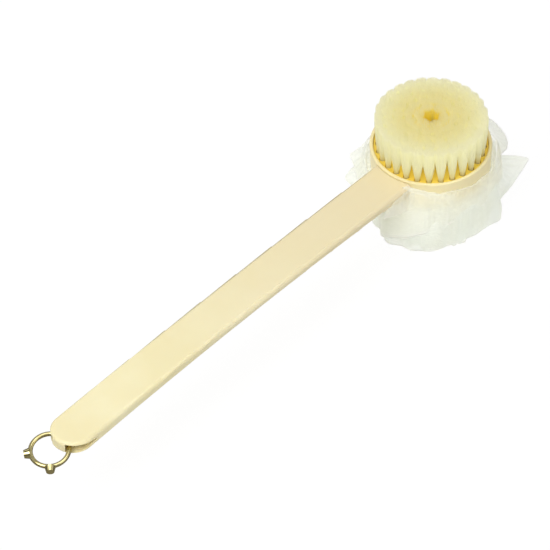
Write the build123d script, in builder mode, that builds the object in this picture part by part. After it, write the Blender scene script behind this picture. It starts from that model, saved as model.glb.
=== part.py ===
from build123d import *
import os
from math import sqrt, sin, cos, radians

# Two-sided body brush: a long ivory handle, a round head with nylon tufts on top,
# a gathered mesh puff underneath and a hanging ring through the tail.
# Millimetres. +Z up, +X from the tail to the head. The origin lies on the head's
# axis, on the flat underside of the puff.

os.makedirs("parts", exist_ok=True)

FROM_LEFT = (Align.MIN, Align.CENTER)   # rectangles placed by their -X side
FROM_BASE = (Align.CENTER, Align.CENTER, Align.MIN)

# ---------------------------------------------------------------- head dimensions
cup_r = 37.5
cup_foot_r = cup_r - 0.9
cup_bore_r = 35.3
ledge_r = 32.6
cup_bottom = 40.0
cup_floor = 3.0
rim_top = 58.0
lip_fillet = 0.7
foot_fillet = 2.0
floor_top = cup_bottom + cup_floor

plate_r = 35.2
plate_recess = 1.5
plate_thick = 7.0
plate_chamfer = 0.4
plate_top = rim_top - plate_recess
plate_bottom = plate_top - plate_thick
seat_gap = 0.05           # between cup and plate, and above the cup floor
boss_r = 3.5
boss_embed = 0.45         # how far the bosses run up into the plate
boss_hole_depth = 7.0     # measured up from the cup floor
dish_r = 3.2
dish_depth = 2.2

# tufts: (pitch radius, count) of each ring
tuft_rings = [(7.6, 6), (13.8, 12), (20.0, 17), (26.1, 23), (32.2, 28)]
tuft_hole_r = 2.0
tuft_hole_depth = 5.2
tuft_base_r = 1.92
tuft_tip_r = 2.75
tuft_tip_z = 80.5
staple_len = 4.4
staple_thick = 0.35
staple_h = 1.6
hole_floor = plate_top - tuft_hole_depth
root_z = hole_floor + 0.1     # underside of tufts and staples

# screws
screw_r = 1.5
screw_head_r = 2.8
screw_head_h = 1.7
plate_shank = 7.6
neck_shank = 6.0
cross_len = 3.0
cross_w = 0.6
cross_depth = 1.0
pilot_r = screw_r + 0.05
through_r = screw_r + 0.15
counterbore_r = screw_head_r + 0.2
plate_screw_r = 24.0
neck_screw_x = -28.0
neck_screw_y = 6.0

# ---------------------------------------------------------------- handle dimensions
handle_w = 28.0
tail_r = handle_w / 2
tail_x = -327.5           # centre of the tail's half round
tip_x = tail_x - tail_r
neck_top_z = 56.5
arch_rise = 2.5
thick_tail = 9.4          # overall thickness at the tail, the middle and the neck
thick_mid = 7.0
thick_neck = 8.4
part_depth = 3.5          # depth of the parting line below the top face
skin = 2.0
wall = 2.2
lower_wall = wall + 0.8
edge_r = 2.2
keel_r = 3.3
fillet_end_x = -60        # only edges centred on the tail side of this are rounded
seat_r = cup_r + 0.1      # hollow end that seats against the cup
hollow_tail_x = tail_x + 2.0
hollow_neck_x = -46.0

# The shells are cut from blanks longer and wider than the handle.
blank_x0 = tip_x - 4.0
blank_x1 = -30.0
blank_half_w = 20
blank_over = 8            # reach of the hollowing tools past the shells
plan_z = 30               # plan outlines are extruded from here
plan_h = 50

# locating pegs, their sockets and the cross ribs
peg_x = [-84.0, -140.0, -196.0, -252.0, -300.0]
peg_r = 1.5
peg_len = 2.6
socket_r = 3.4
socket_bore_r = 1.55
socket_depth = 3.0
socket_gap = 0.1          # socket top below the parting line
rib_x = [-66.0, -112.0, -168.0, -224.0, -276.0]
rib_thick = 1.4
rib_gap = 0.2
root_lift = 1.0           # ribs and sockets start this far above the underside

# tongue that plugs into the head cup, and the gusset that carries it
tongue_w = 20.0
tongue_z0 = 43.1
tongue_z1 = 49.0
tongue_x0 = -44.0
tongue_x1 = -20.0
pilot_depth = 5.1
gusset_tail_x = -66.0
gusset_low_x = -41.0
gusset_neck_x = -36.0
gusset_low_lift = 0.8
gusset_top_lift = 2.2
window_x0 = -40.0
window_len = 9.0

# ---------------------------------------------------------------- ring dimensions
wire_r = 1.45
ring_r = 11.6
ring_offset = 18.9        # ring centre beyond the tail centre when level
ring_side = 2.3           # the loose ring rests against one side of its slot
ring_droop = 12.5
ring_roll = 4.5
ring_axis_z = neck_top_z - 3.6
pivot_x = tail_x - (ring_offset - ring_r)
nub_angle = 42.0
nub_sink = 0.9            # nub base inside the wire's outer edge
nub_base_r = 3.4
nub_tip_r = 2.5
nub_len = 3.5
bar_r = 7.5               # round of the bar that holds the ring
bar_x = tail_x - ring_offset + 0.3

# side view of the ring slot: (x, depth below neck_top_z)
slot_profile = [
    (tip_x - 2.0, 1.25),
    (tail_x - 5.2, 1.4),
    (tail_x + 5.5, 2.9),
    (tail_x + 5.5, 3.6),
    (tail_x - 5.2, 6.7),
    (tip_x - 2.0, 9.2),
]
slot_half_w = 16

# ---------------------------------------------------------------- puff and cord dimensions
puff_base_r = 44.0
puff_top_r = 42
puff_top = 39.4
# side of the puff, base to top: (radius, z)
puff_side = [(puff_base_r, 0), (51.5, 6), (54.0, 17), (50.5, 30), (puff_top_r, puff_top)]
well_r = 9.5
well_floor = 28.4
post_r = 4.7              # post that stands in the well
post_top = 35

cord_r = 1.1
cord_x = 6.2              # loop radius, and each eyelet's distance from the axis along Y
loop_z = 30.2
strand_r = cord_r - 0.1
strand_z = 30.0
strand_bend_r = 2.0
eyelet_r = cord_r + 0.3
knot_z = 46.4
knot_r = 2.1
button_r = 10.0
button_thick = 1.2
button_hole_r = cord_r + 0.2

# ---------------------------------------------------------------- handle curves
mid_x = (-cup_r + tip_x) / 2
half_chord = (-cup_r - tip_x) / 2
arch_r = (half_chord**2 + arch_rise**2) / (2 * arch_rise)
arch_cz = neck_top_z + arch_rise - arch_r


def arch_z(x, depth=0.0):
    """Height of the arched surface `depth` below the handle's top face."""
    return arch_cz + sqrt((arch_r - depth) ** 2 - (x - mid_x) ** 2)


def low_z(x, lift=0.0):
    """Height of the underside, a parabola through three depths, raised by `lift`."""
    tail_z = neck_top_z - thick_tail
    middle_z = neck_top_z + arch_rise - thick_mid
    neck_z = neck_top_z - thick_neck
    t = (x - tip_x) / (-cup_r - tip_x)
    return (
        tail_z * (1 - t) * (1 - 2 * t) + middle_z * 4 * t * (1 - t) + neck_z * t * (2 * t - 1) + lift
    )


def curve_points(height, offset=0.0):
    """Three points of a handle curve, from the tail end to the neck end."""
    return [(x, height(x, offset)) for x in (blank_x0, mid_x, blank_x1)]


# ---------------------------------------------------------------- shared places
# These return fresh location contexts, to be opened inside a sketch.
def plate_screw_places():
    return PolarLocations(plate_screw_r, 3)


def neck_screw_places():
    return Locations((neck_screw_x, neck_screw_y), (neck_screw_x, -neck_screw_y))


def eyelet_places():
    return Locations((0, cord_x), (0, -cord_x))


# ---------------------------------------------------------------- handle
def make_upper_shell():
    top = curve_points(arch_z)
    parting = curve_points(arch_z, part_depth)
    ceiling = curve_points(arch_z, skin)
    with BuildPart() as upper:
        with BuildSketch(Plane.XZ):
            with BuildLine():
                ThreePointArc(*top)
                Line(top[-1], parting[-1])
                ThreePointArc(*parting[::-1])
                Line(parting[0], top[0])
            make_face()
        extrude(amount=blank_half_w, both=True)
        with BuildSketch(Plane.XY.offset(plan_z)):
            with Locations((tail_x, 0)):
                Circle(tail_r)
                Rectangle(-20.0 - tail_x, handle_w, align=FROM_LEFT)
        extrude(amount=plan_h, mode=Mode.INTERSECT)
        top_face = upper.faces().sort_by(SortBy.AREA)[-2:].sort_by(Axis.Z)[-1]
        rim_edges = [e for e in top_face.edges() if e.center().X < fillet_end_x]
        fillet(rim_edges, radius=edge_r)
        # the end that seats against the head cup
        with BuildSketch(Plane.XY.offset(plan_z)):
            with Locations((tip_x - 10.0, 0)):
                Rectangle(blank_x1 - tip_x + 10.0, handle_w + 2.0, align=FROM_LEFT)
            Circle(seat_r, mode=Mode.SUBTRACT)
        extrude(amount=plan_h, mode=Mode.INTERSECT)
        # hollow underside
        with BuildSketch(Plane.XZ):
            with BuildLine():
                ThreePointArc(*ceiling)
                Polyline(
                    ceiling[-1],
                    (blank_x1, ceiling[-1][1] - blank_over),
                    (blank_x0, ceiling[0][1] - blank_over),
                    ceiling[0],
                )
            make_face()
        hollow = extrude(amount=blank_half_w, both=True, mode=Mode.PRIVATE)
        with BuildSketch(Plane.XY.offset(plan_z)):
            with Locations((hollow_tail_x, 0)):
                Circle(tail_r - wall)
                Rectangle(hollow_neck_x - hollow_tail_x, handle_w - 2 * wall, align=FROM_LEFT)
        plan = extrude(amount=plan_h, mode=Mode.PRIVATE)
        add(hollow & plan, mode=Mode.SUBTRACT)
        # locating pegs
        for x in peg_x:
            with BuildSketch(Plane.XY.offset(arch_z(x, part_depth) - peg_len)):
                with Locations((x, 0)):
                    Circle(peg_r)
            extrude(until=Until.NEXT)
    return upper.part


def make_lower_shell():
    parting = curve_points(arch_z, part_depth)
    underside = curve_points(low_z)
    floor = curve_points(low_z, skin)
    with BuildPart() as lower:
        with BuildSketch(Plane.XZ):
            with BuildLine():
                ThreePointArc(*parting)
                Line(parting[-1], underside[-1])
                ThreePointArc(*underside[::-1])
                Line(underside[0], parting[0])
            make_face()
        extrude(amount=blank_half_w, both=True)
        with BuildSketch(Plane.XY.offset(plan_z)):
            with Locations((tail_x, 0)):
                Circle(tail_r)
                Rectangle(blank_x1 - tail_x, handle_w, align=FROM_LEFT)
            Circle(seat_r, mode=Mode.SUBTRACT)
        extrude(amount=plan_h, mode=Mode.INTERSECT)
        low_face = lower.faces().sort_by(SortBy.AREA)[-2:].sort_by(Axis.Z)[0]
        keel_edges = [e for e in low_face.edges() if e.center().X < fillet_end_x]
        fillet(keel_edges, radius=keel_r)
        # hollow, open at the top
        with BuildSketch(Plane.XZ):
            with BuildLine():
                ThreePointArc(*floor)
                Polyline(
                    floor[-1],
                    (blank_x1, arch_z(blank_x1) + blank_over),
                    (blank_x0, arch_z(blank_x0) + blank_over),
                    floor[0],
                )
            make_face()
        hollow = extrude(amount=blank_half_w, both=True, mode=Mode.PRIVATE)
        with BuildSketch(Plane.XY.offset(plan_z)):
            with Locations((hollow_tail_x, 0)):
                Circle(tail_r - lower_wall)
                Rectangle(
                    hollow_neck_x - hollow_tail_x, handle_w - 2 * lower_wall, align=FROM_LEFT
                )
        plan = extrude(amount=plan_h, mode=Mode.PRIVATE)
        add(hollow & plan, mode=Mode.SUBTRACT)
        # cross ribs
        for x in rib_x:
            root = low_z(x, root_lift)
            with BuildSketch(Plane.XY.offset(root)):
                with Locations((x, 0)):
                    Rectangle(rib_thick, handle_w - 2 * wall)
            extrude(amount=arch_z(x, part_depth) - rib_gap - root)
        # sockets for the pegs of the upper shell
        for x in peg_x:
            root = low_z(x, root_lift)
            parting_z = arch_z(x, part_depth)
            with BuildSketch(Plane.XY.offset(root)):
                with Locations((x, 0)):
                    Circle(socket_r)
            extrude(amount=parting_z - socket_gap - root)
            with BuildSketch(Plane.XY.offset(parting_z - socket_depth)):
                with Locations((x, 0)):
                    Circle(socket_bore_r)
            extrude(amount=socket_depth + 1, mode=Mode.SUBTRACT)
        # neck gusset, trimmed to the round of the cup
        with BuildSketch(Plane.XZ):
            Polygon(
                (gusset_neck_x, tongue_z0),
                (gusset_low_x, tongue_z0),
                (gusset_tail_x, low_z(gusset_tail_x, gusset_low_lift)),
                (gusset_tail_x, low_z(gusset_tail_x, gusset_top_lift)),
                (gusset_neck_x, low_z(gusset_neck_x, gusset_top_lift)),
                align=None,
            )
        extrude(amount=tongue_w / 2, both=True)
        with Locations((0, 0, 50)):
            Cylinder(seat_r, 60, mode=Mode.SUBTRACT)
        # tongue into the head cup, with two pilot holes for the neck screws
        with BuildSketch(Plane.XY.offset(tongue_z0)):
            with Locations((tongue_x0, 0)):
                Rectangle(tongue_x1 - tongue_x0, tongue_w, align=FROM_LEFT)
        extrude(amount=tongue_z1 - tongue_z0)
        with BuildSketch(Plane.XY.offset(tongue_z0 - 0.5)):
            with neck_screw_places():
                Circle(pilot_r)
        extrude(amount=pilot_depth + 0.5, mode=Mode.SUBTRACT)
    return lower.part


def make_slot():
    """Cutter for the ring slot.

    The slot opens on both sides of the tail round, leaves a bar at the very tip,
    which the ring runs behind, and narrows towards the head.
    """
    with BuildPart() as slot:
        with BuildSketch(Plane.XZ):
            Polygon(*[(x, neck_top_z - depth) for x, depth in slot_profile], align=None)
        extrude(amount=slot_half_w, both=True)
        # the bar behind which the ring is held
        with BuildSketch(Plane.XY.offset(40)):
            with Locations((bar_x, 0)):
                Circle(bar_r)
        extrude(amount=25, mode=Mode.SUBTRACT)
    return slot.part


def cut_slot(shell):
    with BuildPart() as slotted:
        add(shell - make_slot())
    return slotted.part


# ---------------------------------------------------------------- hanging ring
def make_hanging_ring():
    """Ring rolled to rest on one side of the slot and tipped about its swing axis."""
    droop, roll = radians(ring_droop), radians(ring_roll)
    ring_plane = Plane(
        origin=(pivot_x, ring_side, ring_axis_z),
        x_dir=(cos(droop), 0, sin(droop)),
        z_dir=(-cos(roll) * sin(droop), -sin(roll), cos(roll) * cos(droop)),
    )
    with BuildPart(ring_plane) as ring:
        with Locations((-ring_r, 0, 0)):
            Torus(ring_r, wire_r)
            # two nubs, nub_angle to either side of the ring's far end
            with PolarLocations(
                ring_r + wire_r - nub_sink,
                2,
                start_angle=180 - nub_angle,
                angular_range=4 * nub_angle,
            ):
                Cone(nub_base_r, nub_tip_r, nub_len, rotation=(0, 90, 0), align=FROM_BASE)
    return ring.part


# ---------------------------------------------------------------- head
def make_head_cup():
    with BuildPart() as cup:
        with BuildSketch(Plane.XZ):
            with BuildLine():
                Polyline(
                    (0, cup_bottom),
                    (cup_foot_r, cup_bottom),
                    (cup_r, rim_top),
                    (cup_bore_r, rim_top),
                    (cup_bore_r, plate_bottom - seat_gap),
                    (ledge_r, plate_bottom - seat_gap),
                    (ledge_r, floor_top),
                    (0, floor_top),
                    (0, cup_bottom),
                )
            make_face()
        revolve(axis=Axis.Z)
        lip = cup.edges().filter_by(GeomType.CIRCLE).group_by(Axis.Z)[-1]
        fillet(lip, radius=lip_fillet)
        foot = cup.edges().filter_by(GeomType.CIRCLE).group_by(Axis.Z)[0]
        fillet(foot, radius=foot_fillet)
        # window for the handle's tongue
        with BuildSketch(Plane.XY.offset(floor_top)):
            with Locations((window_x0, 0)):
                Rectangle(window_len, tongue_w + 0.3, align=FROM_LEFT)
        extrude(amount=tongue_z1 - floor_top + 0.15, mode=Mode.SUBTRACT)
        # screw holes and the cord's two eyelets through the floor
        with BuildSketch(Plane.XY.offset(cup_bottom - 1)):
            with plate_screw_places():
                Circle(through_r)
            with neck_screw_places():
                Circle(through_r)
            with eyelet_places():
                Circle(eyelet_r)
        extrude(amount=cup_floor + 2, mode=Mode.SUBTRACT)
        # counterbores for the screw heads, from underneath
        with BuildSketch(Plane.XY.offset(cup_bottom - 1)):
            with plate_screw_places():
                Circle(counterbore_r)
            with neck_screw_places():
                Circle(counterbore_r)
        extrude(amount=1 + screw_head_h + 0.1, mode=Mode.SUBTRACT)
    return cup.part


def make_bristle_plate():
    with BuildPart() as plate:
        with BuildSketch(Plane.XY.offset(plate_bottom)):
            Circle(plate_r)
        extrude(amount=plate_thick)
        chamfer(plate.faces().sort_by(Axis.Z)[-1].edges(), length=plate_chamfer)
        # screw bosses on the underside
        boss_z = floor_top + seat_gap
        with BuildSketch(Plane.XY.offset(boss_z)):
            with plate_screw_places():
                Circle(boss_r)
        extrude(amount=plate_bottom + boss_embed + 0.1 - boss_z)
        with BuildSketch(Plane.XY.offset(floor_top)):
            with plate_screw_places():
                Circle(pilot_r)
        extrude(amount=boss_hole_depth, mode=Mode.SUBTRACT)
        # blind tuft holes
        with BuildSketch(Plane.XY.offset(hole_floor)):
            for radius, count in tuft_rings:
                with PolarLocations(radius, count):
                    Circle(tuft_hole_r)
        extrude(amount=tuft_hole_depth + 1, mode=Mode.SUBTRACT)
        # shallow dish in the bare centre
        with BuildSketch(Plane.XY.offset(plate_top - dish_depth)):
            Circle(dish_r)
        extrude(amount=3, mode=Mode.SUBTRACT)
    return plate.part


def make_tufts(radius, count):
    with BuildPart() as tufts:
        with BuildSketch(Plane.XY.offset(root_z)):
            with PolarLocations(radius, count):
                Circle(tuft_base_r)
        extrude(amount=tuft_hole_depth - 0.1)
        with PolarLocations(radius, count):
            with Locations((0, 0, plate_top)):
                Cone(tuft_base_r, tuft_tip_r, tuft_tip_z - plate_top, align=FROM_BASE)
        # the fold at the root, open for the staple
        with BuildSketch(Plane.XY.offset(hole_floor)):
            with PolarLocations(radius, count):
                Rectangle(tuft_base_r * 2 + 1, staple_thick + 0.1)
        extrude(amount=staple_h + 0.25, mode=Mode.SUBTRACT)
    return tufts.part


def make_staples(radius, count):
    with BuildPart() as staples:
        with BuildSketch(Plane.XY.offset(root_z)):
            with PolarLocations(radius, count):
                Rectangle(staple_len, staple_thick)
        extrude(amount=staple_h)
    return staples.part


def make_screws(places, shank_len):
    """Upright screws, heads down in the cup floor."""
    with BuildPart() as screws:
        with BuildSketch(Plane.XY.offset(cup_bottom)):
            with places():
                Circle(screw_head_r)
        extrude(amount=screw_head_h)
        with BuildSketch(Plane.XY.offset(cup_bottom + screw_head_h)):
            with places():
                Circle(screw_r)
        extrude(amount=shank_len)
        # cross recess
        with BuildSketch(Plane.XY.offset(cup_bottom - 0.5)):
            with places():
                Rectangle(cross_len, cross_w)
                Rectangle(cross_w, cross_len)
        extrude(amount=cross_depth + 0.5, mode=Mode.SUBTRACT)
    return screws.part


# ---------------------------------------------------------------- puff, cord and button
def make_mesh_puff():
    """Squashed ball with a flat underside and a well for its cord."""
    with BuildPart() as puff:
        with BuildSketch(Plane.XZ):
            with BuildLine():
                Line((0, 0), puff_side[0])
                Spline(*puff_side, tangents=((1, 0.1), (-1, 0.45)))
                Polyline(
                    puff_side[-1],
                    (well_r, puff_top),
                    (well_r, well_floor),
                    (post_r, well_floor),
                    (post_r, post_top),
                    (0, post_top),
                    (0, 0),
                )
            make_face()
        revolve(axis=Axis.Z)
    return puff.part


def make_puff_cord():
    with BuildPart() as cord:
        # the loop round the waist of the mesh
        with Locations((0, 0, loop_z)):
            Torus(cord_x, cord_r)
        # one length of cord up through an eyelet, across the button and down the other
        with BuildLine() as run:
            Polyline(
                (0, cord_x, strand_z), (0, cord_x, knot_z), (0, -cord_x, knot_z), (0, -cord_x, strand_z)
            )
            fillet(run.vertices().group_by(Axis.Z)[-1], radius=strand_bend_r)
        with BuildSketch(Plane.XY.offset(strand_z)):
            with Locations((0, cord_x)):
                Circle(strand_r)
        sweep(path=run.wires()[0])
        # the knot
        with Locations((0, 0, knot_z)):
            Sphere(knot_r)
    return cord.part


def make_cord_button():
    with BuildPart() as button:
        with BuildSketch(Plane.XY.offset(floor_top + seat_gap)):
            Circle(button_r)
            with eyelet_places():
                Circle(button_hole_r, mode=Mode.SUBTRACT)
        extrude(amount=button_thick)
    return button.part


# ---------------------------------------------------------------- names and files
pieces = {
    "handle_upper_shell": cut_slot(make_upper_shell()),
    "handle_lower_shell": cut_slot(make_lower_shell()),
    "hanging_ring": make_hanging_ring(),
    "head_cup": make_head_cup(),
    "bristle_plate": make_bristle_plate(),
    "plate_screws": make_screws(plate_screw_places, plate_shank),
    "neck_screws": make_screws(neck_screw_places, neck_shank),
    "mesh_puff": make_mesh_puff(),
    "puff_cord": make_puff_cord(),
    "cord_button": make_cord_button(),
}
for i, (radius, count) in enumerate(tuft_rings, start=1):
    pieces[f"tuft_ring_{i}"] = make_tufts(radius, count)
    pieces[f"staples_ring_{i}"] = make_staples(radius, count)

for name, piece in pieces.items():
    piece.label = name
    export_step(piece, f"parts/{name}.step")
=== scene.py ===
"""A round bath brush with a gathered net puff round its head.

The head's axis is the Z axis: the cup opens upwards and the bristles point to +Z. The handle
runs towards -X and the floor is z = 0. Shapes are worked out in millimetres and scaled to
metres when a mesh is made. Materials, lights and camera are in metres.
"""
import math

import bpy
import numpy as np
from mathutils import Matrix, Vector


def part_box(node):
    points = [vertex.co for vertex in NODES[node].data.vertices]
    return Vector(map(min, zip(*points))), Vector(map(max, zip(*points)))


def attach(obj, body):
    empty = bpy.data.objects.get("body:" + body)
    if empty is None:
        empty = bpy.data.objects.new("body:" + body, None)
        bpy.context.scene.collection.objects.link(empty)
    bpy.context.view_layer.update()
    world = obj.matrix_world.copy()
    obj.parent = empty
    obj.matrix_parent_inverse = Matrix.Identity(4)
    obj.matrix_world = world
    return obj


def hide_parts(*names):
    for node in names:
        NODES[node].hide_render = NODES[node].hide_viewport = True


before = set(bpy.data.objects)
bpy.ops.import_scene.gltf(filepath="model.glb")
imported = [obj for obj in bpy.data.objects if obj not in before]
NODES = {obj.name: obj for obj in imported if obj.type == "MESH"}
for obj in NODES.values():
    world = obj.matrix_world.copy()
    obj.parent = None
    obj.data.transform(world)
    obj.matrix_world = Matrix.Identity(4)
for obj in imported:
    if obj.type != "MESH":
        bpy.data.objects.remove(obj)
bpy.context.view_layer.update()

scene = bpy.context.scene
MM = 0.001

# ---------------------------------------------------------------- sizes taken from the frame
cup_low, cup_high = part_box("head_cup")
CUP_BASE_Z = cup_low.z / MM
CUP_RADIUS = cup_high.x / MM
PLATE_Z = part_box("bristle_plate")[1].z / MM     # top of the bristle plate
TIP_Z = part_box("tuft_ring_5")[1].z / MM         # bristle tips
# top of the upper shell at the head end
NECK_TOP_Z = max(v.co.z for v in NODES["handle_upper_shell"].data.vertices if v.co.x > -0.05) / MM
NECK_HALF_WIDTH = 14.0


# ---------------------------------------------------------------- node helpers
class Nodes:
    """A short way to write the node tree of a material or a world."""

    def __init__(self, owner, output_kind="ShaderNodeOutputMaterial"):
        self.owner = owner
        owner.use_nodes = True
        self.tree = owner.node_tree
        self.tree.nodes.clear()
        self.end = self.tree.nodes.new(output_kind)

    def node(self, kind, inputs=None, **props):
        new = self.tree.nodes.new(kind)
        for key, value in props.items():
            setattr(new, key, value)
        for key, value in (inputs or {}).items():
            self.set(new, key, value)
        return new

    def first(self, kind, inputs=None, **props):
        """Adds a node and returns its first output."""
        return self.node(kind, inputs, **props).outputs[0]

    def set(self, node, key, value):
        socket = node.inputs[key]
        if isinstance(value, bpy.types.NodeSocket):
            self.tree.links.new(value, socket)
        elif isinstance(value, tuple) and len(value) == 3 and socket.type == "RGBA":
            socket.default_value = (*value, 1.0)
        else:
            socket.default_value = value

    def math(self, operation, *values, clamp=False):
        inputs = dict(enumerate(values))
        return self.first("ShaderNodeMath", inputs, operation=operation, use_clamp=clamp)

    def vector_math(self, operation, inputs):
        return self.first("ShaderNodeVectorMath", inputs, operation=operation)

    def coords(self):
        return self.node("ShaderNodeTexCoord").outputs["Object"]

    def attribute(self, name):
        return self.node("ShaderNodeAttribute", attribute_name=name).outputs["Fac"]

    def noise(self, vector, scale, detail=3.0, rough=0.5, out="Fac"):
        inputs = {"Vector": vector, "Scale": scale, "Detail": detail, "Roughness": rough}
        return self.node("ShaderNodeTexNoise", inputs).outputs[out]

    def remap(self, value, across, to=(0.0, 1.0)):
        return self.first("ShaderNodeMapRange", {
            "Value": value, "From Min": across[0], "From Max": across[1],
            "To Min": to[0], "To Max": to[1]})

    def grey_ramp(self, factor, stops, interpolation="LINEAR", blue=1.0):
        """stops: (position, brightness); blue scales the blue channel."""
        node = self.node("ShaderNodeValToRGB", {"Fac": factor})
        node.color_ramp.interpolation = interpolation
        elements = node.color_ramp.elements
        while len(elements) < len(stops):
            elements.new(0.5)
        for element, (position, grey) in zip(elements, stops):
            element.position = position
            element.color = (grey, grey, grey * blue, 1)
        return node.outputs["Color"]

    def mix(self, factor, first, second):
        node = self.node("ShaderNodeMix", {"Factor": factor, 6: first, 7: second},
                         data_type="RGBA")
        return node.outputs[2]

    def mix_shaders(self, factor, first, second):
        return self.first("ShaderNodeMixShader", {"Fac": factor, 1: first, 2: second})

    def bump(self, height, strength, distance, normal=None):
        inputs = {"Height": height, "Strength": strength, "Distance": distance}
        if normal is not None:
            inputs["Normal"] = normal
        return self.first("ShaderNodeBump", inputs)

    def finish(self, shader):
        self.set(self.end, "Surface", shader)
        return self.owner


def new_material(name):
    return Nodes(bpy.data.materials.new(name))


def srgb(*channels):
    """0-255 display values, all above 10, as linear light."""
    return tuple(((c / 255 + 0.055) / 1.055) ** 2.4 for c in channels)


# ---------------------------------------------------------------- materials
MIDDLE = (0.35, 0.65)       # the spans of noise values that the remaps stretch
WIDE_MIDDLE = (0.3, 0.7)


def moulded_plastic(name, light, dark, rough=0.34, painted_head_shade=None):
    """Slow colour drift, flow marks, a fine grain and uneven gloss; the head-end colour, when
    given, is painted shade: darker and warmer towards the head.
    """
    mat = new_material(name)
    place = mat.coords()
    drift = mat.noise(place, scale=22.0, rough=0.55)
    fine = mat.noise(place, scale=420.0, detail=2.0)
    colour = mat.mix(mat.remap(drift, across=MIDDLE), light, dark)
    colour = mat.mix(mat.remap(fine, across=WIDE_MIDDLE, to=(0.0, 0.10)), colour, dark)
    if painted_head_shade is not None:
        # painted shade: the colour turns darker and warmer towards the head end
        axes = mat.node("ShaderNodeSeparateXYZ", {"Vector": place})
        colour = mat.mix(mat.remap(axes.outputs["X"], across=(-0.26, -0.03)), colour, painted_head_shade)
    # squeezed along X, so that the marks run lengthwise
    flow = mat.first("ShaderNodeMapping", {"Vector": place, "Scale": (0.12, 1.0, 1.0)})
    streak = mat.noise(flow, scale=260.0, rough=0.6)
    grain = mat.noise(place, scale=5200.0, detail=2.0, rough=0.6)
    waves = mat.noise(place, scale=55.0, detail=2.0)
    normal = mat.bump(waves, strength=0.18, distance=0.0006)
    normal = mat.bump(streak, strength=0.10, distance=0.00018, normal=normal)
    normal = mat.bump(grain, strength=0.35, distance=0.00003, normal=normal)
    blend = mat.math("ADD", mat.math("MULTIPLY", fine, 0.5), mat.math("MULTIPLY", streak, 0.5))
    gloss = mat.remap(blend, across=WIDE_MIDDLE, to=(rough - 0.07, rough + 0.09))
    return mat.finish(mat.first("ShaderNodeBsdfPrincipled", {
        "Base Color": colour, "Roughness": gloss, "Normal": normal, "IOR": 1.5,
        "Specular IOR Level": 0.42, "Subsurface Weight": 0.12,
        "Subsurface Radius": (0.9, 0.75, 0.4), "Subsurface Scale": 0.0022}))


def metal(name, base, other, rough, scratch=0.2):
    mat = new_material(name)
    place = mat.coords()
    drift = mat.noise(place, scale=180.0, detail=4.0, rough=0.6)
    colour = mat.mix(mat.remap(drift, across=MIDDLE), base, other)
    fine = mat.noise(place, scale=900.0, detail=4.0, rough=0.65)
    normal = mat.bump(fine, strength=scratch, distance=0.00004)
    gloss = mat.remap(fine, across=WIDE_MIDDLE, to=(rough * 0.7, rough * 1.5))
    return mat.finish(mat.first("ShaderNodeBsdfPrincipled", {
        "Base Color": colour, "Metallic": 1.0, "Roughness": gloss, "Normal": normal}))


def cord_material():
    """White cord with diagonal strands."""
    mat = new_material("white_cord")
    strands = mat.node("ShaderNodeTexWave", {
        "Vector": mat.coords(), "Scale": 520.0, "Distortion": 1.5, "Detail": 2.0},
        wave_type="BANDS", bands_direction="DIAGONAL").outputs["Fac"]
    colour = mat.mix(strands, srgb(218, 218, 206), srgb(246, 246, 238))
    normal = mat.bump(strands, strength=0.8, distance=0.0003)
    return mat.finish(mat.first("ShaderNodeBsdfPrincipled", {
        "Base Color": colour, "Roughness": 0.85, "Normal": normal, "Sheen Weight": 0.4}))


def soften_shadow(mat, shader):
    """Lets most shadow rays and many diffuse rays straight through, for soft shadows."""
    rays = mat.node("ShaderNodeLightPath").outputs
    clear = mat.first("ShaderNodeBsdfTransparent", {"Color": (1, 1, 1)})
    diffuse_share = mat.math("MULTIPLY", rays["Is Diffuse Ray"], 0.8)
    share = mat.math("MAXIMUM", rays["Is Shadow Ray"], diffuse_share)
    return mat.mix_shaders(mat.math("MULTIPLY", share, 0.96), shader, clear)


def nylon_material():
    """Cream filaments, each with its own tint. Painted shade and yellow bounce light make the
    roots and the head's centre yellower, and a painted highlight makes the outer filaments paler.
    """
    mat = new_material("cream_nylon")
    tint = mat.attribute("fil_tint")
    height = mat.attribute("fil_height")
    place = mat.coords()
    colour = mat.mix(tint, srgb(255, 248, 196), srgb(255, 253, 216))
    # painted shade and yellow bounce light from the plate: the roots turn deeper yellow
    painted_root_shade = mat.remap(height, across=(0.05, 0.45), to=(1.0, 0.0))
    colour = mat.mix(painted_root_shade, colour, srgb(255, 238, 128))
    tip = mat.remap(height, across=(0.93, 1.0), to=(0.0, 0.6))
    colour = mat.mix(tip, colour, srgb(255, 246, 200))
    # painted highlight: filaments nearer the head's outer edge turn paler
    edge = mat.math("MULTIPLY", mat.attribute("fil_painted_rim_light"), 0.6)
    colour = mat.mix(edge, colour, srgb(255, 255, 238))
    # painted shade: filaments round the head's centre turn deep yellow below their tips
    colour = mat.mix(mat.attribute("fil_painted_centre_shade"), colour, srgb(255, 237, 96))
    normal = mat.bump(mat.noise(place, scale=3000.0, detail=2.0), strength=0.2,
                      distance=0.00004)
    gloss = mat.remap(tint, across=(0, 1), to=(0.3, 0.45))
    solid = mat.first("ShaderNodeBsdfPrincipled", {
        "Base Color": colour, "Roughness": gloss, "Normal": normal, "Specular IOR Level": 0.35})
    glow = mat.first("ShaderNodeBsdfTranslucent", {"Color": colour, "Normal": normal})
    return mat.finish(soften_shadow(mat, mat.mix_shaders(0.5, solid, glow)))


NET_CELL = (1.25, 1.7)      # mm, across and down the sheet
NET_THREAD = 0.17           # thread width as a share of a cell


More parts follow.
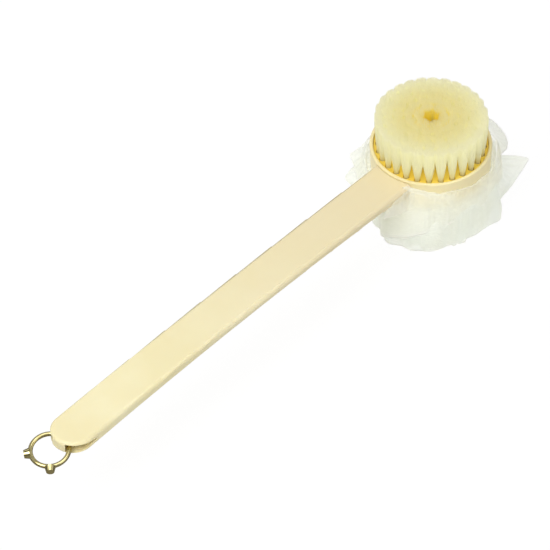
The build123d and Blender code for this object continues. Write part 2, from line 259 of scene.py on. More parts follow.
def net_material(name, shade, film=0.17):
    """Diamond netting: two slanting families of threads on the sheet's flat UV (mm).

    film is the opacity between the threads.
    """
    mat = new_material(name)
    flat = mat.node("ShaderNodeUVMap", uv_map="net").outputs["UV"]
    wobble = mat.noise(flat, scale=0.55, detail=2.0, out="Color")
    wobble = mat.vector_math("SUBTRACT", {0: wobble, 1: (0.5, 0.5, 0.5)})
    wobble = mat.vector_math("SCALE", {0: wobble, "Scale": 1.4})
    axes = mat.node("ShaderNodeSeparateXYZ",
                    {"Vector": mat.vector_math("ADD", {0: flat, 1: wobble})})
    across = mat.math("DIVIDE", axes.outputs["X"], NET_CELL[0])
    down = mat.math("DIVIDE", axes.outputs["Y"], NET_CELL[1])
    slant_a = mat.math("PINGPONG", mat.math("ADD", across, down), 0.5)
    slant_b = mat.math("PINGPONG", mat.math("SUBTRACT", across, down), 0.5)
    threads = mat.remap(mat.math("MINIMUM", slant_a, slant_b),
                        across=(NET_THREAD * 0.55, NET_THREAD * 1.25), to=(1.0, 0.0))
    knots = mat.remap(mat.math("MAXIMUM", slant_a, slant_b),
                      across=(NET_THREAD * 1.1, NET_THREAD * 2.0), to=(1.0, 0.0))
    mask = mat.math("MAXIMUM", threads, mat.math("MULTIPLY", knots, 0.8))
    cloud = mat.noise(flat, scale=0.035)

    # opacity: threads over film, a dense hem, and thinner cloth where net_thin says so
    hem = mat.attribute("net_hem")
    veil = mat.remap(cloud, across=WIDE_MIDDLE, to=(film * 0.8, film * 1.25))
    alpha = mat.math("ADD", mat.math("MULTIPLY", mask, 0.86 - film), veil)
    alpha = mat.math("MAXIMUM", alpha, mat.math("MULTIPLY", hem, 0.93), clamp=True)
    thin = mat.attribute("net_thin")
    alpha = mat.math("MULTIPLY", alpha, mat.remap(thin, across=(0.0, 1.0), to=(1.0, 0.38)))

    tone = mat.mix(mat.remap(cloud, across=MIDDLE), shade, srgb(252, 254, 246))
    tone = mat.mix(hem, tone, srgb(255, 255, 252))
    fuzz = mat.math("MULTIPLY", mat.noise(flat, scale=0.4, detail=2.0), 0.3)
    normal = mat.bump(mat.math("ADD", mask, fuzz), strength=0.5, distance=0.00012)
    solid = mat.first("ShaderNodeBsdfPrincipled", {
        "Base Color": tone, "Roughness": 0.55, "Normal": normal, "Sheen Weight": 0.25,
        "Sheen Roughness": 0.4, "Specular IOR Level": 0.3})
    glow = mat.first("ShaderNodeBsdfTranslucent", {"Color": tone, "Normal": normal})
    cloth = mat.mix_shaders(0.48, solid, glow)
    clear = mat.first("ShaderNodeBsdfTransparent", {"Color": (1, 1, 1)})
    sheet = mat.mix_shaders(alpha, clear, cloth)
    mat.owner.blend_method = "HASHED"
    return mat.finish(soften_shadow(mat, sheet))


# the handle's head end gets painted shade
ivory = moulded_plastic("ivory_plastic", light=srgb(242, 233, 192), dark=srgb(238, 227, 181),
                        painted_head_shade=srgb(232, 217, 178))
cup_plastic = moulded_plastic("cup_plastic", light=srgb(243, 230, 183), dark=srgb(240, 225, 172))
plate_plastic = moulded_plastic("plate_plastic", light=srgb(244, 214, 92),
                                dark=srgb(236, 200, 72), rough=0.4)
button_plastic = moulded_plastic("button_plastic", light=srgb(242, 242, 234),
                                 dark=srgb(232, 234, 224), rough=0.45)
gold = metal("gold_plate", base=srgb(224, 213, 160), other=srgb(202, 187, 128), rough=0.10)
brass = metal("staple_brass", base=srgb(214, 182, 110), other=srgb(190, 158, 92), rough=0.3)
steel = metal("screw_steel", base=srgb(178, 178, 182), other=srgb(150, 152, 158), rough=0.28,
              scratch=0.3)
nylon = nylon_material()
cord = cord_material()
collar_net = net_material("puff_net_a", shade=srgb(254, 255, 246))
skirt_net = net_material("puff_net_b", shade=srgb(250, 254, 248), film=0.24)
inner_net = net_material("puff_net_c", shade=srgb(252, 255, 248), film=0.26)

# CAD pieces keep their shape and get their finish
for material, pieces in (
    (ivory, ("handle_upper_shell", "handle_lower_shell")),
    (cup_plastic, ("head_cup",)),
    (plate_plastic, ("bristle_plate",)),
    (button_plastic, ("cord_button",)),
    (gold, ("hanging_ring",)),
    (cord, ("puff_cord",)),
    (brass, [f"staples_ring_{i}" for i in range(1, 6)]),
    (steel, ("plate_screws", "neck_screws")),
):
    for piece in pieces:
        slots = NODES[piece].data.materials
        slots.clear()
        slots.append(material)


# ---------------------------------------------------------------- meshes from arrays
def make_object(name, points, face_groups, material, attributes, flat=None, seam=None):
    """A smooth mesh from points in mm.

    flat is each point's UV; seam is the UV width of a sheet that closes on itself.
    """
    mesh = bpy.data.meshes.new(name)
    faces = [face for group in face_groups for face in group.tolist()]
    mesh.from_pydata((points * MM).tolist(), [], faces)
    mesh.validate(verbose=False)
    mesh.polygons.foreach_set("use_smooth", [True] * len(mesh.polygons))
    for key, values in attributes.items():
        layer = mesh.attributes.new(key, "FLOAT", "POINT")
        layer.data.foreach_set("value", values.astype(np.float32))
    if flat is not None:
        layer = mesh.uv_layers.new(name="net")
        corners = np.zeros(len(mesh.loops), np.int32)
        mesh.loops.foreach_get("vertex_index", corners)
        corner_uv = flat[corners]
        if seam is not None:
            # faces over the seam run on past the last column, not back to the first
            sizes = np.zeros(len(mesh.polygons), np.int32)
            mesh.polygons.foreach_get("loop_total", sizes)
            face = np.repeat(np.arange(len(sizes)), sizes)
            far = np.full(len(sizes), -1e9)
            np.maximum.at(far, face, corner_uv[:, 0])
            jumps = far[face] - corner_uv[:, 0] > seam / 2
            corner_uv[:, 0] += np.where(jumps, seam, 0.0)
        layer.data.foreach_set("uv", corner_uv.astype(np.float32).ravel())
    mesh.materials.append(material)
    mesh.update()
    obj = bpy.data.objects.new(name, mesh)
    scene.collection.objects.link(obj)
    return obj


# ---------------------------------------------------------------- tufts of nylon filaments
TUFT_RINGS = [(7.6, 6), (13.8, 12), (20.0, 17), (26.1, 23), (32.2, 28)]   # radius, tufts
FILAMENTS = 170                 # in each tuft
LEVELS = np.array([0.0, 0.12, 0.22, 0.34, 0.5, 0.7, 0.9, 1.0])    # rings of points, root to tip
SIDES = 3
ROOT_SPREAD = 1.25              # tuft radius at the root
TIP_SPREAD = 3.3                # tuft's radial half-width at the tips
TIP_SCATTER = 0.17
TIP_OUTER, TIP_INNER = 34.95, 4.7     # the tips stay between these radii
EDGE_SCATTER = 0.12
ROOT_Z = PLATE_Z - 2.6
FILAMENT_RADIUS = 0.150
# painted shade in the head's centre, by ring: radius where it fades out, fade width, strength
CENTRE_SHADE_FADE = {1: (8.6, 2.2, 1.0), 2: (12.6, 1.6, 0.85)}
CENTRE_SHADE_BY_LEVEL = np.where(LEVELS < 0.85, 1.0, np.where(LEVELS < 1.0, 0.75, 0.0))


def tuft_faces(start):
    """Side quads and end triangles of filaments whose first points are start."""
    quads = []
    for level in range(len(LEVELS) - 1):
        low, high = level * SIDES, (level + 1) * SIDES
        for j in range(SIDES):
            k = (j + 1) % SIDES
            quads.append(np.stack([start + low + j, start + low + k,
                                   start + high + k, start + high + j], 1))
    last = (len(LEVELS) - 1) * SIDES
    ends = [np.stack([start + 2, start + 1, start], 1),
            np.stack([start + last, start + last + 1, start + last + 2], 1)]
    return np.concatenate(quads), np.concatenate(ends)


def tuft_ring(index, radius, count, seed):
    rng = np.random.default_rng(seed)
    # tangential half-width: neighbouring tufts just overlap
    tangent_spread = math.pi * radius / count * 1.04 + 0.12
    # sunflower packing of the filaments in a unit disc
    order = np.arange(FILAMENTS)
    rho = np.sqrt((order + 0.5) / FILAMENTS)
    angle = order * math.pi * (3 - math.sqrt(5))
    disc_x, disc_y = rho * np.cos(angle), rho * np.sin(angle)
    per_filament = len(LEVELS) * SIDES
    points, quads, ends, tint, height, painted_centre_shade, painted_rim_light = [], [], [], [], [], [], []
    for tuft in range(count):
        around = 2 * math.pi * tuft / count
        radial = np.array([math.cos(around), math.sin(around)])
        tangent = np.array([-math.sin(around), math.cos(around)])
        turn = rng.uniform(0, 2 * math.pi)
        pack_r = disc_x * math.cos(turn) - disc_y * math.sin(turn)
        pack_t = disc_x * math.sin(turn) + disc_y * math.cos(turn)
        lean = rng.normal(0, 0.16, 2)
        stretch = rng.normal(1.0, 0.035)
        tip_r = (pack_r * TIP_SPREAD * stretch + lean[0]
                 + rng.normal(0, TIP_SCATTER, FILAMENTS))
        tip_t = (pack_t * tangent_spread * stretch + lean[1]
                 + rng.normal(0, TIP_SCATTER, FILAMENTS))
        # the outermost ring spreads less outwards, the innermost less inwards
        if index == 5:
            tip_r = np.where(tip_r > 0, tip_r * 0.80, tip_r)
        elif index == 1:
            tip_r = np.where(tip_r < 0, tip_r * 0.92, tip_r)
        centre = radial * radius
        base = (centre + np.outer(pack_r * ROOT_SPREAD, radial)
                + np.outer(pack_t * ROOT_SPREAD, tangent))
        tip = centre + np.outer(tip_r, radial) + np.outer(tip_t, tangent)
        reach = np.linalg.norm(tip, axis=1)
        outer = TIP_OUTER + rng.normal(0, EDGE_SCATTER, FILAMENTS)
        tip *= np.minimum(1.0, outer / reach)[:, None]
        reach = np.linalg.norm(tip, axis=1)
        inner = TIP_INNER + rng.normal(0, EDGE_SCATTER, FILAMENTS)
        tip *= np.maximum(1.0, inner / np.maximum(reach, 1e-6))[:, None]
        reach = np.linalg.norm(tip, axis=1)
        # the head is slightly domed, and so is each tuft
        top = (TIP_Z + 1.5 - 0.9 * (reach / 34.6) ** 2 - 0.35 * rho ** 4
               + rng.normal(0, 0.12, FILAMENTS) + rng.normal(0, 0.08))
        side = np.column_stack([-(tip - base)[:, 1], (tip - base)[:, 0]])
        bow = rng.normal(0, 0.05, FILAMENTS)
        width = rng.normal(FILAMENT_RADIUS, 0.007, FILAMENTS)
        twist = rng.uniform(0, 2 * math.pi, FILAMENTS)
        rings = []
        for level in LEVELS:
            z = ROOT_Z + (top - ROOT_Z) * level
            # most of the spread happens just above the plate
            rise = np.clip((z - PLATE_Z) / (top - PLATE_Z) / 0.92, 0, 1)
            spread = 1 - (1 - rise) ** 1.75
            middle = (base + (tip - base) * spread[:, None]
                      + side * (bow * math.sin(math.pi * level))[:, None])
            thick = width * (0.8 if level == 1.0 else 0.82 if level < 0.1 else 1.0)
            for j in range(SIDES):
                theta = twist + j * 2 * math.pi / SIDES
                rings.append(np.column_stack([middle[:, 0] + thick * np.cos(theta),
                                              middle[:, 1] + thick * np.sin(theta), z]))
        points.append(np.stack(rings, axis=1).reshape(-1, 3))
        tuft_quads, tuft_ends = tuft_faces((tuft * FILAMENTS + order) * per_filament)
        quads.append(tuft_quads)
        ends.append(tuft_ends)
        tint.append(np.repeat(np.clip(rng.normal(0.5, 0.25, FILAMENTS), 0, 1), per_filament))
        height.append(np.tile(np.repeat(LEVELS, SIDES), FILAMENTS))
        # share of the painted highlight, growing towards the head's outer edge
        painted_rim_light.append(np.repeat(np.clip((reach - 19.0) / 12.0, 0, 1), per_filament))
        # share of the painted centre shade, fading out with radius
        fade_end, fade, strength = CENTRE_SHADE_FADE.get(index, (0.0, 1.0, 0.0))
        centre_shade_share = strength * np.clip((fade_end - reach) / fade, 0, 1)
        painted_centre_shade.append(np.outer(centre_shade_share, np.repeat(CENTRE_SHADE_BY_LEVEL, SIDES)).ravel())
    obj = make_object(
        f"nylon_tufts_{index}", np.concatenate(points),
        [np.concatenate(quads), np.concatenate(ends)], nylon,
        {"fil_tint": np.concatenate(tint), "fil_height": np.concatenate(height),
         "fil_painted_centre_shade": np.concatenate(painted_centre_shade), "fil_painted_rim_light": np.concatenate(painted_rim_light)})
    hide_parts(f"tuft_ring_{index}")
    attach(obj, "brush")


for index, (radius, count) in enumerate(TUFT_RINGS, start=1):
    tuft_ring(index, radius, count, seed=40 + index)


# ---------------------------------------------------------------- curves for the net
def full_turn(columns):
    return np.linspace(0, 2 * math.pi, columns, endpoint=False)


def periodic(table, phi, column=1):
    """A column of a table whose first column is degrees, smoothly round the circle at phi."""
    pairs = sorted((row[0] % 360, row[column]) for row in table)
    turn = np.array([degrees for degrees, _ in pairs], float)
    values = np.array([value for _, value in pairs], float)
    turn = np.concatenate([turn - 360, turn, turn + 360])
    values = np.concatenate([values, values, values])
    # monotone cubic, so that corners stay crisp and nothing overshoots
    step = np.diff(turn)
    rise = np.diff(values) / step
    before, after = rise[:-1], rise[1:]
    slope = np.zeros(len(turn))
    slope[1:-1] = np.where(before * after > 0,
                           2 * before * after / (before + after + 1e-12), 0)
    where = np.degrees(phi) % 360
    k = np.clip(np.searchsorted(turn, where) - 1, 0, len(step) - 1)
    t = (where - turn[k]) / step[k]
    return ((1 + 2 * t) * (1 - t) ** 2 * values[k] + t * (1 - t) ** 2 * step[k] * slope[k]
            + t * t * (3 - 2 * t) * values[k + 1] + t * t * (t - 1) * step[k] * slope[k + 1])


def run_length(points, axis):
    """Running length along one axis of a grid of points, averaged over the other."""
    steps = np.linalg.norm(np.diff(points, axis=axis), axis=2).mean(1 - axis)
    return np.concatenate([[0], np.cumsum(steps)])


def extend_ends(control):
    """Adds a mirrored control curve before the first and after the last."""
    return np.concatenate([2 * control[:1] - control[1:2], control,
                           2 * control[-1:] - control[-2:-1]])


def catmull(extended, k, t):
    """Catmull-Rom value at share t of span k."""
    p0, p1, p2, p3 = extended[k:k + 4]
    return 0.5 * (2 * p1 + (p2 - p0) * t + (2 * p0 - 5 * p1 + 4 * p2 - p3) * t * t
                  + (3 * p1 - p0 - 3 * p2 + p3) * t ** 3)


def even_curve(control, rows):
    """control: (k, columns, 2); returns (rows, columns, 2), evenly spaced in mean length."""
    extended = extend_ends(control)
    spans = len(control) - 1
    fine = np.array([catmull(extended, k, t) for k in range(spans)
                     for t in np.linspace(0, 1, 12, endpoint=(k == spans - 1))])
    run = run_length(fine, axis=0)
    want = np.linspace(0, run[-1], rows)
    k = np.clip(np.searchsorted(run, want) - 1, 0, len(run) - 2)
    t = ((want - run[k]) / (run[k + 1] - run[k]))[:, None, None]
    return fine[k] * (1 - t) + fine[k + 1] * t


def ruffle(phi, down, seed, folds, swirl=0.35):
    """Irregular folds in mm for each (down, phi); folds: (count round the circle, height)."""
    rng = np.random.default_rng(seed)
    warp = phi + sum(rng.uniform(0.10, 0.2) / k * np.sin(k * phi + rng.uniform(0, 6.28))
                     for k in (1, 2, 3, 5))
    total = np.zeros((len(down), len(phi)))
    for count, height in folds:
        for extra in (-1, 0, 2):
            weight = rng.uniform(0.4, 1.0) * height
            total += weight * np.sin((count + extra) * warp[None, :] + rng.uniform(0, 6.28)
                                     + rng.normal(0, swirl) * down[:, None] * 4)
    return total


def wavy(phi, base, seed, height):
    """A radius or height that wanders gently round the circle."""
    rng = np.random.default_rng(seed)
    lobes = (3, 5, 7)
    phase = [rng.uniform(0, 360) for _ in lobes]
    table = [(degrees, base + sum(height / (i + 1) * math.sin(math.radians(k * degrees + p))
                                  for i, (k, p) in enumerate(zip(lobes, phase))))
             for degrees in range(0, 360, 10)]
    return periodic(table, phi)


# ---------------------------------------------------------------- room for the net
GAP = 0.45                      # between the net and the solid parts


def neck_underside():
    """x stations along the neck and the lower shell's lowest z near each."""
    shell = np.array([tuple(v.co) for v in NODES["handle_lower_shell"].data.vertices]) / MM
    stations = np.arange(-80, -28, 2.0)
    lowest = []
    for x in stations:
        close = shell[np.abs(shell[:, 0] - x) < 6.0]
        lowest.append(close[:, 2].min() if len(close) else 46.0)
    return stations, np.array(lowest)


NECK_X, NECK_LOW_Z = neck_underside()


def keep_out(points):
    """Holds the net outside the cup, the neck and the floor."""
    x, y, z = points[..., 0], points[..., 1], points[..., 2]
    z = np.maximum(z, 0.5)
    # the cup: out past the wall or down below the underside, whichever is shorter
    radius = np.hypot(x, y)
    inside = (z > CUP_BASE_Z - GAP) & (radius < CUP_RADIUS + GAP)
    push_out = (CUP_RADIUS + GAP - radius)
    push_down = z - (CUP_BASE_Z - GAP)
    side = inside & (push_out < push_down)
    scale = np.where(side, (CUP_RADIUS + GAP) / np.maximum(radius, 1e-6), 1.0)
    x, y = x * scale, y * scale
    z = np.where(inside & ~side, CUP_BASE_Z - GAP, z)
    # the neck: below it by preference, else beside or above it
    under = np.interp(x, NECK_X, NECK_LOW_Z)
    near = ((x < -30) & (np.abs(y) < NECK_HALF_WIDTH + GAP) & (z > under - GAP)
            & (z < NECK_TOP_Z + GAP))
    push_up = (NECK_TOP_Z + GAP) - z
    push_down = z - (under - GAP)
    push_side = NECK_HALF_WIDTH + GAP - np.abs(y)
    go_down = near & (push_down <= push_up + 3.0) & (push_down <= push_side + 1.5)
    go_side = near & ~go_down & (push_side <= push_up)
    go_up = near & ~go_down & ~go_side
    z = np.where(go_down, under - GAP, z)
    z = np.where(go_up, NECK_TOP_Z + GAP, z)
    y = np.where(go_side, np.sign(y) * (NECK_HALF_WIDTH + GAP), y)
    return np.stack([x, y, z], -1)


def smooth_grid(points):
    beside = (np.roll(points, 1, 1) + np.roll(points, -1, 1)) / 2
    points = 0.5 * points + 0.5 * beside
    result = points.copy()
    result[1:-1] = 0.5 * points[1:-1] + 0.25 * (points[2:] + points[:-2])
    return result


# ---------------------------------------------------------------- thin closed sheets of net
SHEET = 0.16                    # thickness
HEM = 1.1                       # usual width of the dense hem


def two_sides(points, across, down):
    """Both faces of the sheet, from its middle and its two directions."""
    normal = np.cross(across, down)
    normal /= np.linalg.norm(normal, axis=2, keepdims=True) + 1e-12
    return points + normal * SHEET / 2, points - normal * SHEET / 2


def side_faces(rows, columns, closed):
    i, j = np.meshgrid(np.arange(rows - 1), np.arange(columns if closed else columns - 1),
                       indexing="ij")
    k = (j + 1) % columns
    a, b = i * columns + j, i * columns + k
    c, d = (i + 1) * columns + k, (i + 1) * columns + j
    return [np.stack([a, b, c, d], -1).reshape(-1, 4),
            np.stack([a, d, c, b], -1).reshape(-1, 4) + rows * columns]


def add_net(name, middle, points, faces, material, across, thin, hem_width=HEM, hem_share=1.0,
            seam=None):
    """middle is the sheet's grid, root to hem; across is the flat width at each column."""
    down = run_length(middle, axis=0)
    flat = np.stack(np.meshgrid(across, down), -1).reshape(-1, 2)
    flat = np.concatenate([flat, flat])
    hem = np.clip(1 - (down[-1] - flat[:, 1]) / hem_width, 0, 1) * hem_share
    obj = make_object(name, points, faces, material, {"net_hem": hem, "net_thin": thin},
                      flat=flat, seam=seam)
    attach(obj, "brush")
    return obj


def net_ring(name, inner, hem, material, seed, folds, rows=44, calm=1.0, reach=np.inf,
             fabric=760.0, opening=1.6, hem_width=HEM):
    """A ruffled layer right round the head.

    inner: (radius, z) control curves before the hem, each a number or an array round the
    circle. calm scales the folds, reach caps the radius, fabric is the flat width in mm and
    opening sets how late the folds open towards the hem.
    """
    columns = len(hem[0])
    phi = full_turn(columns)
    control = np.array([np.stack([np.broadcast_to(radius, columns),
                                  np.broadcast_to(z, columns)], 1)
                        for radius, z in [*inner, hem]], float)
    control[..., 0] = np.minimum(control[..., 0], reach)
    profile = even_curve(control, rows)
    down = np.linspace(0, 1, rows)
    tangent = np.gradient(profile, axis=0)
    tangent /= np.linalg.norm(tangent, axis=2, keepdims=True) + 1e-9
    normal = np.stack([-tangent[..., 1], tangent[..., 0]], 2)
    opened = down[:, None] ** opening
    fold = ruffle(phi, down, seed, folds) * opened * calm
    pleats = (ruffle(phi, down, seed + 7, ((70, 0.22),), swirl=0.1)
              * (0.35 + 0.65 * (1 - down[:, None])))
    profile = profile + normal * (fold + pleats)[..., None]
    # folds also swing sideways
    swing = [(count, height * 0.5) for count, height in folds]
    shift = ruffle(phi, down, seed + 13, swing) * opened
    radius, z = profile[..., 0], profile[..., 1]
    angle = phi[None, :] + shift / np.maximum(radius, 8.0)
    middle = np.stack([radius * np.cos(angle), radius * np.sin(angle), z], 2)
    middle = keep_out(smooth_grid(keep_out(middle)))

    top, bottom = two_sides(middle, across=np.roll(middle, -1, 1) - np.roll(middle, 1, 1),
                            down=np.gradient(middle, axis=0))
    top[..., 2] = np.maximum(top[..., 2], 0.3)
    bottom[..., 2] = np.maximum(bottom[..., 2], 0.1)
    points = np.concatenate([top.reshape(-1, 3), bottom.reshape(-1, 3)])
    below = rows * columns
    j = np.arange(columns)
    k = (j + 1) % columns
    last = (rows - 1) * columns
    faces = side_faces(rows, columns, closed=True) + [
        np.stack([j, j + below, k + below, k], 1),
        np.stack([last + j, last + k, last + k + below, last + j + below], 1)]
    return add_net(name, middle, points, faces, material, across=j / columns * fabric,
                   thin=np.clip((points[:, 2] - 40.0) / 10.0, 0, 1), hem_width=hem_width,
                   seam=fabric)


def net_patch(name, middle):
    """A sheet with four free edges."""
    rows, columns = middle.shape[:2]
    top, bottom = two_sides(middle, across=np.gradient(middle, axis=1),
                            down=np.gradient(middle, axis=0))
    points = np.concatenate([top.reshape(-1, 3), bottom.reshape(-1, 3)])
    below = rows * columns
    loop = np.concatenate([
        np.arange(columns), np.arange(1, rows) * columns + columns - 1,
        (rows - 1) * columns + np.arange(columns - 2, -1, -1),
        np.arange(rows - 2, 0, -1) * columns])
    after = np.roll(loop, -1)
    edge = np.stack([loop, loop + below, after + below, after], 1)
    add_net(name, middle, points, side_faces(rows, columns, closed=False) + [edge], collar_net,
            across=run_length(middle, axis=1) * 1.3, thin=np.full(len(points), 0.45),
            hem_share=0.35)


# ---------------------------------------------------------------- the puff's layers
# Tables round the head's axis start with degrees from +X towards +Y; lengths are in mm.
# hems of the two outer layers: degrees, radius, z
COLLAR_HEM = [
    (-1, 55, 38), (-12, 55, 37.5), (-20, 54, 36.5), (-25, 52, 35), (-30, 46, 34.5),
    (-34, 42, 35), (-40, 43, 34), (-50, 44, 33), (-60, 42, 32), (-75, 41, 31.5),
    (-90, 40.5, 31), (-105, 40, 30.5), (-118, 40.5, 29.5), (-125, 41, 28), (-135, 43.5, 26.5),
    (-143, 45, 24.5), (-151, 46, 22.5), (-158, 47, 20.5), (-165, 47.5, 18.5), (-172, 47.5, 16),
    (-178, 47, 14.5), (176, 45, 20), (170, 44, 27), (160, 43.5, 31), (150, 44.5, 35),
    (136, 45.5, 37), (129, 47, 38), (122, 50, 40.5), (117, 46.5, 42.5), (105, 43.5, 42.5),
    (90, 43.5, 41), (75, 46, 39), (60, 47, 38), (45, 49, 37), (30, 50.5, 37), (15, 53, 38)]
SKIRT_HEM = [
    (-26, 43, 34), (-30, 46, 33.5), (-33, 57, 32), (-35, 62, 30.5), (-38, 59.5, 29),
    (-44, 54, 26.5), (-50, 50, 23.5), (-56, 46, 21), (-61, 43, 18), (-66, 42.5, 15),
    (-70, 46, 11), (-74, 45, 10), (-82, 42.5, 10), (-93, 40.5, 9.5), (-105, 40, 9.5),
    (-118, 41, 9.5), (-132, 43.5, 9.5), (-147, 45, 9.5), (-163, 45, 10), (-174, 46.5, 10.5),
    (-179, 45, 12), (176, 41.5, 16), (168, 40.5, 20), (160, 42.5, 22), (152, 45, 23),
    (145, 46, 25), (138, 48, 27), (132.5, 52, 29.5), (128, 49, 32), (120, 46, 32),
    (108, 48, 30), (95, 50, 27), (80, 47, 24), (65, 50, 26), (50, 52, 24), (35, 49, 22),
    (20, 53, 25), (5, 51, 28), (-12, 50, 32)]
# z of the collar's crest
CREST = [
    (0, 50), (-30, 51), (-60, 52), (-100, 53.5), (-135, 54), (-150, 53.8), (-157, 52.5),
    (-161, 48), (-166, 43.4), (180, 42.6), (168, 43.0), (160, 44.5), (150, 46), (120, 46.5),
    (95, 45), (60, 46.5), (30, 49)]
# share of the full fold height
COLLAR_CALM = [
    (-1, 0.7), (-30, 0.35), (-60, 0.5), (-100, 0.55), (-140, 0.5), (-170, 0.35), (170, 0.5),
    (125, 0.45), (90, 1.0), (45, 1.3)]
SKIRT_CALM = [
    (-20, 0.6), (-35, 0.22), (-60, 0.4), (-72, 0.3), (-100, 0.45), (-150, 0.4), (-175, 0.3),
    (170, 0.5), (132, 0.35), (100, 1.1), (45, 1.3)]
# largest control radius of the mid and low layers, so that the outer hems make the outline
REACH = [
    (-5, 46), (-20, 44), (-35, 41.5), (-50, 39.5), (-60, 38), (-70, 38.5), (-80, 37.5),
    (-93, 36), (-105, 36), (-118, 37), (-135, 39.5), (-150, 41), (-165, 40), (-177, 38.5),
    (170, 37.5), (155, 40), (140, 43), (120, 44), (100, 47), (60, 48), (20, 48)]
NET_COLUMNS = 900


def collar():
    """The top layer: up past the cup's wall, over the crest and down."""
    phi = full_turn(NET_COLUMNS)
    crest = periodic(CREST, phi)
    hem_radius, hem_z = periodic(COLLAR_HEM, phi), periodic(COLLAR_HEM, phi, column=2)
    inner = [(12, 35.5), (30, 37.6), (38.6, 39.6), (39.2, crest - 3.5), (40.4, crest),
             (42.4, crest - 3.0),
             (hem_radius * 0.55 + 42.5 * 0.45, hem_z * 0.55 + (crest - 3.0) * 0.45)]
    return net_ring("puff_net_collar", inner, (hem_radius, hem_z), collar_net, seed=3, rows=64,
                    folds=((9, 0.9), (19, 0.5)), calm=periodic(COLLAR_CALM, phi), opening=1.9,
                    hem_width=1.9)


def skirt():
    """The outer layer below the collar."""
    phi = full_turn(NET_COLUMNS)
    hem_radius, hem_z = periodic(SKIRT_HEM, phi), periodic(SKIRT_HEM, phi, column=2)
    inner = [(11, 33.5), (30, 36), (40, 35),
             (np.minimum(hem_radius * 0.5 + 43.0 * 0.5 + 1.5, hem_radius + 1.0),
              hem_z * 0.5 + 33 * 0.5)]
    net_ring("puff_net_skirt", inner, (hem_radius, hem_z), skirt_net, seed=11, rows=56,
             folds=((8, 1.0), (17, 0.6)), calm=periodic(SKIRT_CALM, phi))


# name, seed, control (radius, z), hem radius and hem z as (base, seed, wave height),
# folds (count, height), columns, other settings
below_hems = {"reach": periodic(REACH, full_turn(NET_COLUMNS))}
INNER_LAYERS = [
    ("mid", 21, [(10, 31), (28, 32), (43, 27), (47, 20)], (43, 5, 2.0), (8.5, 6, 1.6),
     ((10, 1.1), (21, 0.6)), NET_COLUMNS, below_hems),
    ("low", 31, [(10, 29), (26, 27), (36, 19), (38, 11)], (33.5, 8, 1.4), (3.4, 9, 1.0),
     ((11, 1.1), (23, 0.6)), NET_COLUMNS, below_hems),
    ("base", 41, [(10, 27), (20, 21), (29, 12), (30, 6)], (24.5, 18, 1.6), (2.4, 19, 0.8),
     ((9, 1.3), (19, 0.7)), NET_COLUMNS, {"fabric": 560.0}),
    ("heart", 51, [(9.5, 25), (14, 17), (17, 9), (16.5, 5)], (11.5, 28, 1.2), (2.6, 29, 0.8),
     ((7, 1.1), (15, 0.6)), 600, {"fabric": 380.0}),
]


def smoothstep(start, end, x):
    t = np.clip((x - start) / (end - start), 0, 1)
    return t * t * (3 - 2 * t)


def tuck_petal():
    """The fold of net that laps over the neck's corner on the -Y side."""
    along = np.linspace(0, 1, 220)
    phi = np.radians(-118 - 39.2 * along)
    gather = smoothstep(0.45, 1.0, along)
    lift = smoothstep(0.0, 0.7, along)

    def arc(radius, z):
        return np.stack([radius * np.cos(phi), radius * np.sin(phi), z], 1)

    def towards(curve, corner):
        return curve * (1 - gather[:, None]) + np.array(corner) * gather[:, None]

    extended = extend_ends(np.array([
        arc(38.9, np.full_like(along, 43.0)),
        arc(39.1, 46.0 + 2.0 * lift),
        towards(arc(39.5, 49.0 + 5.4 * lift), (-37.2, -14.9, 56.2)),
        towards(arc(39.7 + 1.2 * lift, 50.0 + 5.1 * lift), (-38.9, -14.3, 58.1)),
        towards(arc(40.0 + 2.2 * lift, 45.0 + 7.0 * lift), (-41.6, -12.4, 58.0)),
    ]))
    rows = 26
    # stops just short of 4, the end of the last span
    middle = np.array([catmull(extended, int(q), q - int(q))
                       for q in np.linspace(0, 3.9999, rows)])
    down = np.linspace(0, 1, rows)[:, None]
    wave = (0.35 * np.sin(9 * along[None, :] * 3.1 + 2 * down)
            + 0.22 * np.sin(17 * along[None, :] * 3.1 + 1.0))
    middle[..., 2] += wave * down ** 1.5 * (1 - gather[None, :] * 0.6)
    middle[..., 0] += 0.3 * np.cos(13 * along[None, :] * 3.1) * down ** 1.5
    net_patch("puff_net_tuck", middle)


def neck_lobe():
    """The ruffle that climbs beside the neck and hides its side wall at -Y."""
    along = np.linspace(0, 1, 200)[None, :]     # from the head along the neck
    up = np.linspace(0, 1, 34)[:, None]
    top = 56.2 - 0.9 * along - 7.2 * along ** 4
    low = 37.5 + 9.6 * along ** 1.35
    x = -35.5 - 25.0 * along - 1.5 * up * along
    z = low + (top - low) * up + 0.3 * np.sin(23 * along) * up ** 2
    wave = 0.45 * np.sin(17 * along + 1.5 * up) + 0.3 * np.sin(31 * along + 2.0)
    belly = 1.9 * np.sin(math.pi * up ** 0.8) * (1 - 0.35 * along)
    tuck = 1 - 0.85 * along ** 2
    y = -(14.9 + (belly + (wave + 0.75) * (0.25 + 0.75 * up) * 0.8) * tuck)
    net_patch("puff_net_lobe", np.stack([x, y, z], -1))


collar_object = collar()
skirt()
for name, seed, inner, hem_radius, hem_z, folds, columns, settings in INNER_LAYERS:
    phi = full_turn(columns)
    net_ring(f"puff_net_{name}", inner, (wavy(phi, *hem_radius), wavy(phi, *hem_z)), inner_net,
             seed=seed, folds=folds, **settings)
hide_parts("mesh_puff")
tuck_petal()
neck_lobe()


# ---------------------------------------------------------------- floor
FLOOR_RADIUS = 40               # metres


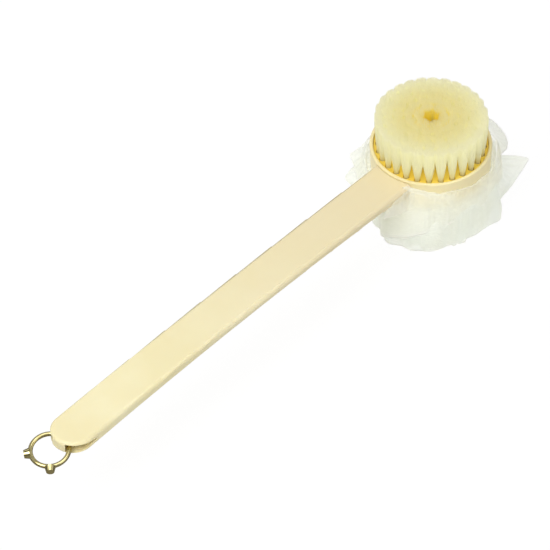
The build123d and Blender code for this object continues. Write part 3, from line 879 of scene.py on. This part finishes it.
def floor_material():
    """Near-white and partly self-lit; glossy rays see it much darker."""
    mat = new_material("pale_floor")
    pale = mat.mix(mat.noise(mat.coords(), scale=6.0, detail=2.0),
                   (0.97, 0.97, 0.97), (0.99, 0.99, 0.99))
    rays = mat.node("ShaderNodeLightPath").outputs
    glossy = rays["Is Glossy Ray"]
    matt = mat.first("ShaderNodeBsdfDiffuse", {"Color": mat.mix(glossy, pale, (0.22, 0.21, 0.19))})
    lit = mat.first("ShaderNodeEmission", {"Color": (1, 1, 1), "Strength": 1.02})
    # self-lit share: 0.22, and 0.68 more for the camera; glossy rays get 15 % of it
    dimming = mat.math("SUBTRACT", 1.0, mat.math("MULTIPLY", glossy, 0.85))
    share = mat.math("ADD", mat.math("MULTIPLY", rays["Is Camera Ray"], 0.68), 0.22)
    return mat.finish(mat.mix_shaders(mat.math("MULTIPLY", share, dimming), matt, lit))


def add_floor():
    mesh = bpy.data.meshes.new("floor")
    ring = [(FLOOR_RADIUS * math.cos(t), FLOOR_RADIUS * math.sin(t), 0.0)
            for t in full_turn(64)]
    mesh.from_pydata(ring, [], [list(range(64))])
    mesh.materials.append(floor_material())
    floor = bpy.data.objects.new("floor", mesh)
    scene.collection.objects.link(floor)


add_floor()

# ---------------------------------------------------------------- world
# position (0 straight down, 0.5 horizon, 1 straight up), brightness
SOFT_BOXES = [(0.0, 0.6), (0.36, 0.45), (0.46, 0.07), (0.62, 0.03), (0.70, 0.85), (0.80, 1.25),
              (0.89, 0.16), (1.0, 1.0)]
AMBIENT = [(0.45, 0.5), (1.0, 1.05)]


def build_world():
    """White to the camera, banded to glossy rays, soft ambient to the rest."""
    scene.world = bpy.data.worlds.new("studio")
    sky = Nodes(scene.world, "ShaderNodeOutputWorld")
    rays = sky.node("ShaderNodeLightPath").outputs
    direction = sky.node("ShaderNodeTexCoord").outputs["Generated"]
    axes = sky.node("ShaderNodeSeparateXYZ", {"Vector": direction})
    height = sky.math("MULTIPLY_ADD", axes.outputs["Z"], 0.5, 0.5)      # -1..1 to 0..1
    bands = sky.grey_ramp(height, SOFT_BOXES, interpolation="EASE", blue=0.98)
    soft = sky.grey_ramp(height, AMBIENT)

    def background(colour, strength):
        return sky.first("ShaderNodeBackground", {"Color": colour, "Strength": strength})

    unseen = sky.mix_shaders(rays["Is Glossy Ray"], background(soft, strength=0.54),
                             background(bands, strength=0.75))
    sky.finish(sky.mix_shaders(rays["Is Camera Ray"], unseen,
                               background((1, 1, 1), strength=1.02)))


build_world()


# ---------------------------------------------------------------- lights and camera
def aim_at(obj, target, azimuth, elevation, distance):
    """Places obj facing target; azimuth turns from -Y towards +X, both angles in degrees."""
    turn, rise = math.radians(azimuth), math.radians(elevation)
    back = Vector((math.sin(turn) * math.cos(rise), -math.cos(turn) * math.cos(rise),
                   math.sin(rise)))
    obj.location = Vector(target) + back * distance
    obj.rotation_mode = "QUATERNION"
    obj.rotation_quaternion = (-back).to_track_quat("-Z", "Y")
    scene.collection.objects.link(obj)


def disk_light(name, azimuth, elevation, distance, diameter, power):
    data = bpy.data.lights.new(name, "AREA")
    data.shape = "DISK"
    data.size = diameter
    data.energy = power
    light = bpy.data.objects.new(name, data)
    light.visible_camera = False
    aim_at(light, (-0.15, 0, 0.05), azimuth, elevation, distance)


disk_light("key", azimuth=-95, elevation=48, distance=2.4, diameter=1.6, power=25)
disk_light("fill", azimuth=5, elevation=40, distance=2.6, diameter=2.0, power=7)
disk_light("top", azimuth=-60, elevation=80, distance=2.2, diameter=2.0, power=14)

lens = bpy.data.cameras.new("camera")
lens.sensor_width = 36.0
lens.lens = 868.0
lens.clip_start, lens.clip_end = 0.1, 200.0
camera = bpy.data.objects.new("camera", lens)
aim_at(camera, (-0.1488, -0.0037, 0.0563), azimuth=-48.90, elevation=43.71, distance=8.0)
scene.camera = camera

# ---------------------------------------------------------------- render settings
scene.view_settings.view_transform = "Standard"
scene.view_settings.look = "None"
scene.view_settings.exposure = 0.0
scene.view_settings.gamma = 1.0
scene.cycles.transparent_max_bounces = 40
scene.cycles.max_bounces = 10
scene.cycles.diffuse_bounces = 7
scene.cycles.glossy_bounces = 4
scene.cycles.transmission_bounces = 6
scene.cycles.sample_clamp_indirect = 8.0

bpy.context.view_layer.update()
